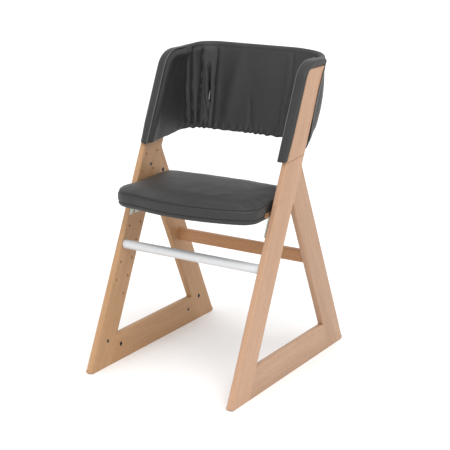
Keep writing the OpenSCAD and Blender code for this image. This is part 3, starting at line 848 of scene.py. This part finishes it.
def cushion_block():
    """The boxed pad before it is filled: rings from the underside to the crown."""
    q = Cushion
    profile = [  # inset, height
        (0.150, q.low), (0.02, q.low), (0.0060, q.low + 0.0003), (0.0016, q.low + 0.0036),
        (0.0003, q.lower), (-0.0004, (q.lower + q.upper) / 2), (0.0006, q.upper), (0.0055, q.upper + 0.0058),
        (0.018, q.upper + 0.0095), (0.055, q.upper + 0.0115), (0.120, q.upper + 0.0120)]
    n, m = len(q.rel), len(profile)
    rings = [np.concatenate([q.mid + q.unit * np.maximum(q.length - inset, 0.02), np.full((n, 1), height)], 1)
             for inset, height in profile]
    ends = [[[q.mid[0], q.mid[1], q.low], [q.mid[0], q.mid[1], q.upper + 0.0121]]]
    faces = []
    for k in range(m - 1):
        for i in range(n):
            j = (i + 1) % n
            faces.append((k * n + i, k * n + j, (k + 1) * n + j, (k + 1) * n + i))
    for i in range(n):
        j = (i + 1) % n
        faces.append((j, i, n * m))
        faces.append(((m - 1) * n + i, (m - 1) * n + j, n * m + 1))
    return np.concatenate(rings + ends), faces


def inflated(o, co, edge_d):
    """The pad's points after a short Cloth run with pressure, held at its underside and seams."""
    q = Cushion
    group = o.vertex_groups.new(name="held")
    for i, (c, e) in enumerate(zip(co, edge_d)):
        if c[2] < q.lo.z + 0.005:
            group.add([i], 1.0, "REPLACE")
        elif e < 0.011 and (abs(c[2] - q.lower) < 0.0030 or abs(c[2] - q.upper) < 0.0036):
            group.add([i], 0.92, "REPLACE")
    cloth = o.modifiers.new("Cloth", "CLOTH")
    settings = cloth.settings
    settings.quality = 5
    settings.mass = 0.3
    settings.vertex_group_mass = "held"
    settings.use_pressure = True
    settings.uniform_pressure_force = 4.0
    settings.tension_stiffness = settings.compression_stiffness = 22
    settings.bending_stiffness = 1.2
    settings.effector_weights.gravity = 0.0
    cloth.collision_settings.use_collision = False
    cloth.point_cache.frame_start, cloth.point_cache.frame_end = 1, 22
    scene = bpy.context.scene
    for f in range(1, 21):
        scene.frame_set(f)
    filled = o.evaluated_get(bpy.context.evaluated_depsgraph_get())
    new = read(filled.to_mesh().vertices, "co")
    filled.to_mesh_clear()
    o.modifiers.clear()
    scene.frame_set(1)
    move = new - co
    size = np.linalg.norm(move, axis=1)
    cap = 0.0060
    return co + move * (np.minimum(size, cap) / np.maximum(size, 1e-9))[:, None]


def shaped(co, nrm):
    """Rear rise, drawn-in and puckered seams, slow swells and one drag fold."""
    q = Cushion
    edge_d = q.from_edge(co)
    run = np.arctan2(co[:, 1] - q.mid[1], co[:, 0] - q.mid[0]) * 0.21
    tilt = 0.0080 * (co[:, 1] - q.lo.y) / (q.hi.y - q.lo.y)
    co[:, 2] += tilt * step(co[:, 2], q.upper - 0.004, q.upper + 0.006)
    upper = q.upper + q.seam_rise * (co[:, 1] - q.lo.y) / (q.hi.y - q.lo.y)
    near = step(-edge_d, -0.022, -0.010)
    for level, width, depth in ((upper, 0.0030, 0.0027), (q.lower, 0.0027, 0.0023)):
        v = co[:, 2] - level
        groove = bell(v, width) * near
        pucker = 0.5 + 0.5 * np.sin(run * 520 + 2.2 * np.sin(run * 61)) * (0.6 + 0.4 * np.sin(run * 23 + 1))
        fade = bell(v, 0.0075) * near
        beads = bell(np.abs(v) - 0.0042, 0.0022) * near
        co += nrm * (-depth * groove - 0.00042 * pucker * fade + 0.00050 * beads)[:, None]
    topside = step(nrm[:, 2], 0.5, 0.9) * step(co[:, 2], q.upper + 0.002, q.upper + 0.008)
    x, y = co[:, 0], co[:, 1]
    co[:, 2] += topside * (0.0009 * ripple(x * 1.1, y * 1.3, 21) + 0.00035 * ripple(x * 3, y * 3, 5))
    # the drag fold runs in from the right front corner
    fold = bell((y - q.lo.y - 0.030) - 0.15 * (x - 0.10), 0.0050)
    fold = fold * step(x, 0.02, 0.09) * step(-x, -0.20, -0.16)
    co[:, 2] -= 0.0012 * fold * topside
    # clear of the legs, and within the height of the moulded foam
    beside_leg = (co[:, 1] > -0.110) & (np.abs(co[:, 0]) > 0.2045)
    co[beside_leg, 0] = np.sign(co[beside_leg, 0]) * 0.2045
    co[:, 2] = np.clip(co[:, 2], q.lo.z - 0.0030, q.hi.z + 0.0045)
    return co


def build_cushion():
    q = Cushion
    o = new_piece("seat_pad", *cushion_block(), leather_seat, "seat")
    o.parent = None
    remesh = o.modifiers.new("remesh", "REMESH")
    remesh.mode = "VOXEL"
    remesh.voxel_size = 0.0046
    remesh.use_smooth_shade = True
    apply_all(o)
    co = read(o.data.vertices, "co")
    edge_d = q.from_edge(co)
    co = inflated(o, co, edge_d)
    put(o, co)
    finer = o.modifiers.new("finer", "SUBSURF")
    finer.levels = finer.render_levels = 1
    apply_all(o)
    put(o, shaped(read(o.data.vertices, "co"), read(o.data.vertices, "normal")))
    o.data.polygons.foreach_set("use_smooth", [True] * len(o.data.polygons))
    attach(o, "seat")
    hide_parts("seat_cushion")
    return o


def sew_cushion(pad):
    """Near-black cords in the seam grooves as painted shadow, and one row of thread just above the upper
    seam.
    """
    q = Cushion
    tree = BVHTree.FromObject(pad, bpy.context.evaluated_depsgraph_get())

    def around(level, rise, lift):
        line = []
        for u, far in zip(q.unit, q.length[:, 0]):
            h = level + rise * (q.mid[1] + u[1] * far - q.lo.y) / (q.hi.y - q.lo.y)
            start = Vector((q.mid[0] + u[0] * (far + 0.05), q.mid[1] + u[1] * (far + 0.05), h))
            place, normal = tree.ray_cast(start, Vector((-u[0], -u[1], 0)))[:2]
            if place is not None:
                line.append(np.array(place) + np.array(normal) * lift)
        return np.array(line)

    # painted shadow: near-black cords laid into both seam grooves
    cords = [tube_along(around(level, rise, -0.0001), 0.00080, 6, True)
             for level, rise in ((q.upper, q.seam_rise), (q.lower, 0.0))]
    new_piece("seat_seam_shadows", *joined(cords), seam_shadow_paint, "seat")
    row = around(q.upper + 0.0052, 0.0030, 0.00015)
    new_piece("seat_stitches", *stitches(np.concatenate([row, row[:1]])), thread, "seat")


def read(vertices, what):
    values = np.empty(len(vertices) * 3)
    vertices.foreach_get(what, values)
    return values.reshape(-1, 3)


def put(o, co):
    o.data.vertices.foreach_set("co", np.ascontiguousarray(co).ravel())
    o.data.update()


def apply_all(o):
    """Replace the mesh with what its modifiers make of it."""
    bpy.context.view_layer.update()
    dg = bpy.context.evaluated_depsgraph_get()
    mesh = bpy.data.meshes.new_from_object(o.evaluated_get(dg))
    o.modifiers.clear()
    o.data = mesh


build_cover()
sew_cover()
sew_cushion(build_cushion())


# ---------------------------------------------------------------- floor, light, camera
def studio():
    """White paper floor out to the horizon, white surroundings, one broad sun and a soft front light."""
    mesh = bpy.data.meshes.new("floor")
    z = -0.0004
    mesh.from_pydata([(-40, -20, z), (40, -20, z), (40, 60, z), (-40, 60, z)], [], [(0, 1, 2, 3)])
    m = Mat("floor_paper", Specular_IOR_Level=0.15)
    v = m.coords()
    m.set("Base Color", m.mix(m.noise(v, 3.0, 3.0), (0.915, 0.91, 0.905), (0.935, 0.93, 0.925)))
    m.set("Roughness", m.span(m.noise(v, 30.0), 0.66, 0.76))
    m.set("Normal", m.bump(m.noise(v, 600.0, 2.0), 0.03, 0.0002))
    mesh.materials.append(m.m)
    link("floor", mesh)
    world = bpy.data.worlds.new("studio")
    world.use_nodes = True
    bg = world.node_tree.nodes["Background"]
    bg.inputs[0].default_value = (1.0, 1.0, 1.0, 1)
    bg.inputs[1].default_value = 0.97
    bpy.context.scene.world = world

    def lamp(name, kind, power, place, **props):
        light = bpy.data.lights.new(name, kind)
        light.energy = power
        for k, v in props.items():
            setattr(light, k, v)
        o = link(name, light)
        o.location = place
        o.rotation_mode = "QUATERNION"
        o.rotation_quaternion = (Vector((0, 0, 0.4)) - Vector(place)).to_track_quat("-Z", "Y")

    lamp("key", "SUN", 1.42, (0.95, -1.0, 3.0), angle=math.radians(50))
    lamp("front", "AREA", 8, (1.5, -2.4, 1.2), shape="DISK", size=1.8)


def camera():
    az, el = math.radians(32.19), math.radians(15.96)
    back = Vector((math.sin(az) * math.cos(el), -math.cos(az) * math.cos(el), math.sin(el)))
    cam = link("camera", bpy.data.cameras.new("camera"))
    cam.data.sensor_width, cam.data.lens = 36.0, 98.45
    cam.data.clip_start, cam.data.clip_end = 0.05, 60
    cam.location = Vector((0.0804, -0.0951, 0.4079)) + back * 3.1575
    cam.rotation_mode = "QUATERNION"
    cam.rotation_quaternion = (-back).to_track_quat("-Z", "Y")
    bpy.context.scene.camera = cam


studio()
camera()
view = bpy.context.scene.view_settings
view.view_transform, view.look, view.exposure, view.gamma = "Standard", "None", 0.0, 1.0
